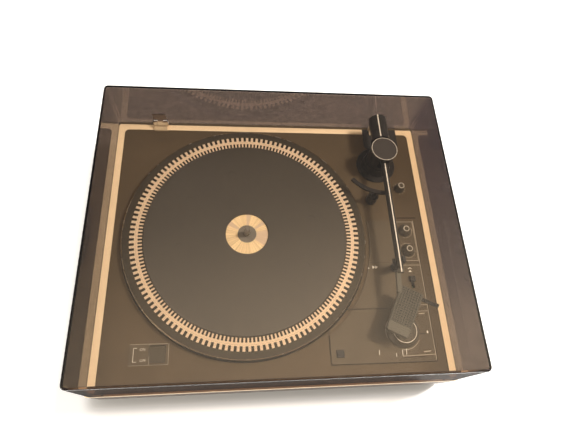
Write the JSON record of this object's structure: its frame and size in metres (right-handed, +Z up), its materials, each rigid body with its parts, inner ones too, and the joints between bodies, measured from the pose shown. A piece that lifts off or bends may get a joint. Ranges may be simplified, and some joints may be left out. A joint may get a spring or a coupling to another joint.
{
  "type": "record player",
  "caption": "Belt-drive record player with a pivoted tonearm, corner control panel and a hinged smoked dust cover, on a low rectangular plinth.",
  "frame": {"origin": "middle of the footprint on the surface that the feet stand on", "axes": "+X to the right along the front edge, +Y to the rear, +Z up"},
  "size_m": [0.42, 0.35, 0.141],
  "materials": {
    "plinth_paint": "satin bronze grey paint",
    "panel_paint": "satin bronze grey paint",
    "champagne": "satin champagne anodised",
    "black_plastic": "fine grain moulded",
    "rubber": "matt",
    "steel": "plain",
    "bronze": "turned",
    "transformer_iron": "varnished laminations",
    "board_green": "solder resist",
    "arm_dark": "black anodised",
    "smoked_acrylic": "polished, smoked",
    "platter_dark": "dark anodised",
    "strobe_gold": "printed pattern",
    "gold": "circular brushed",
    "mat_rubber": "matt",
    "chrome": "polished"
  },
  "bodies": {
    "plinth": {"plinth_shell": "plinth_paint", "base_plate": "black_plastic", "base_screws": "steel", "feet": "rubber", "trim_left": "champagne", "trim_right": "champagne", "front_trim": "champagne", "rear_cover": "black_plastic", "control_panel": "panel_paint", "bearing_housing": "steel", "bearing_bushes": "bronze", "thrust_ball": "steel", "motor": "steel", "well_screws": "steel", "drive_belt": "rubber", "transformer": "transformer_iron", "circuit_board": "board_green", "board_parts": "black_plastic", "mains_gland": "rubber", "audio_gland": "rubber", "control_pots": "steel", "panel_switches": "black_plastic", "power_plate": "panel_paint", "power_switch": "black_plastic", "arm_base": "arm_dark", "arm_nut": "steel", "arm_rest": "black_plastic", "lift_sleeve": "arm_dark", "hinge_base_left": "champagne", "hinge_base_right": "champagne", "lid_buffers": "rubber"},
    "lid": {"lid": "smoked_acrylic", "hinge_bracket_left": "black_plastic", "hinge_bracket_right": "black_plastic"},
    "platter": {"platter": "platter_dark", "strobe_ring": "strobe_gold", "centre_disc": "gold", "platter_mat": "mat_rubber", "subplatter": "black_plastic", "spindle": "chrome"},
    "pulley": {"motor_pulley": "bronze"},
    "arm_swing": {"arm_yoke": "arm_dark", "gimbal_pins": "steel", "pivot_cap": "arm_dark"},
    "arm_tilt": {"arm_tube": "arm_dark", "arm_neck": "arm_dark", "headshell": "black_plastic", "finger_lift": "arm_dark", "cartridge": "black_plastic", "stylus": "black_plastic"},
    "counterweight": {"counterweight": "arm_dark", "force_dial": "arm_dark"},
    "pitch_knob_rear": {"pitch_knob_rear": "black_plastic"},
    "pitch_knob_front": {"pitch_knob_front": "black_plastic"},
    "antiskate_knob": {"antiskate_knob": "black_plastic"},
    "selector_dial": {"selector_dial": "black_plastic"},
    "lift_lever": {"lift_lever": "black_plastic"},
    "lift_bar": {"lift_bar": "arm_dark"},
    "start_button": {"start_button": "black_plastic"},
    "power_rocker": {"power_rocker": "black_plastic"}
  },
  "joints": [
    {"name": "lid_hinge", "type": "hinge", "parent": "plinth", "child": "lid", "pos_m": [0, 0.1705, 0.065], "axis": [-1, 0, 0], "range_deg": [0, 60]},
    {"name": "platter_spin", "type": "hinge", "parent": "plinth", "child": "platter", "pos_m": [-0.0355, 0.0065, 0.06], "axis": [0, 0, 1], "continuous": true},
    {"name": "pulley_spin", "type": "hinge", "parent": "plinth", "child": "pulley", "pos_m": [-0.10975, 0.08075, 0.054], "axis": [0, 0, 1], "continuous": true},
    {"name": "arm_swing", "type": "hinge", "parent": "plinth", "child": "arm_swing", "pos_m": [0.145, 0.1116, 0.093], "axis": [0, 0, -1], "range_deg": [0, 46]},
    {"name": "arm_tilt", "type": "hinge", "parent": "arm_swing", "child": "arm_tilt", "pos_m": [0.145, 0.1116, 0.093], "axis": [-1, 0, 0], "range_deg": [-1.4, 6]},
    {"name": "counterweight_turn", "type": "hinge", "parent": "arm_tilt", "child": "counterweight", "pos_m": [0.145, 0.148, 0.093], "axis": [0, 1, 0], "range_deg": [-180, 180]},
    {"name": "pitch_rear_turn", "type": "hinge", "parent": "plinth", "child": "pitch_knob_rear", "pos_m": [0.1716, 0.0125, 0.065], "axis": [0, 0, 1], "range_deg": [-140, 140]},
    {"name": "pitch_front_turn", "type": "hinge", "parent": "plinth", "child": "pitch_knob_front", "pos_m": [0.1716, -0.0149, 0.065], "axis": [0, 0, 1], "range_deg": [-140, 140]},
    {"name": "antiskate_turn", "type": "hinge", "parent": "plinth", "child": "antiskate_knob", "pos_m": [0.1739, 0.0751, 0.065], "axis": [0, 0, 1], "range_deg": [-150, 150]},
    {"name": "selector_turn", "type": "hinge", "parent": "plinth", "child": "selector_dial", "pos_m": [0.1488, -0.1172, 0.065], "axis": [0, 0, -1], "range_deg": [0, 120]},
    {"name": "lift_lever_slide", "type": "slide", "parent": "plinth", "child": "lift_lever", "axis": [0, -1, 0], "range_m": [0, 0.008]},
    {"name": "lift_bar_rise", "type": "slide", "parent": "plinth", "child": "lift_bar", "axis": [0, 0, 1], "range_m": [0, 0.0014]},
    {"name": "start_press", "type": "slide", "parent": "plinth", "child": "start_button", "axis": [0, 0, -1], "range_m": [0, 0.0012], "stiffness_N_per_m": 300},
    {"name": "power_rock", "type": "hinge", "parent": "plinth", "child": "power_rocker", "pos_m": [-0.136, -0.1334, 0.059], "axis": [-1, 0, 0], "range_deg": [0, 12]}
  ],
  "couplings": [
    {"joint": "pulley_spin", "follows": "platter_spin", "ratio": 9.7143},
    {"joint": "lift_bar_rise", "follows": "lift_lever_slide", "ratio": 0.175}
  ]
}
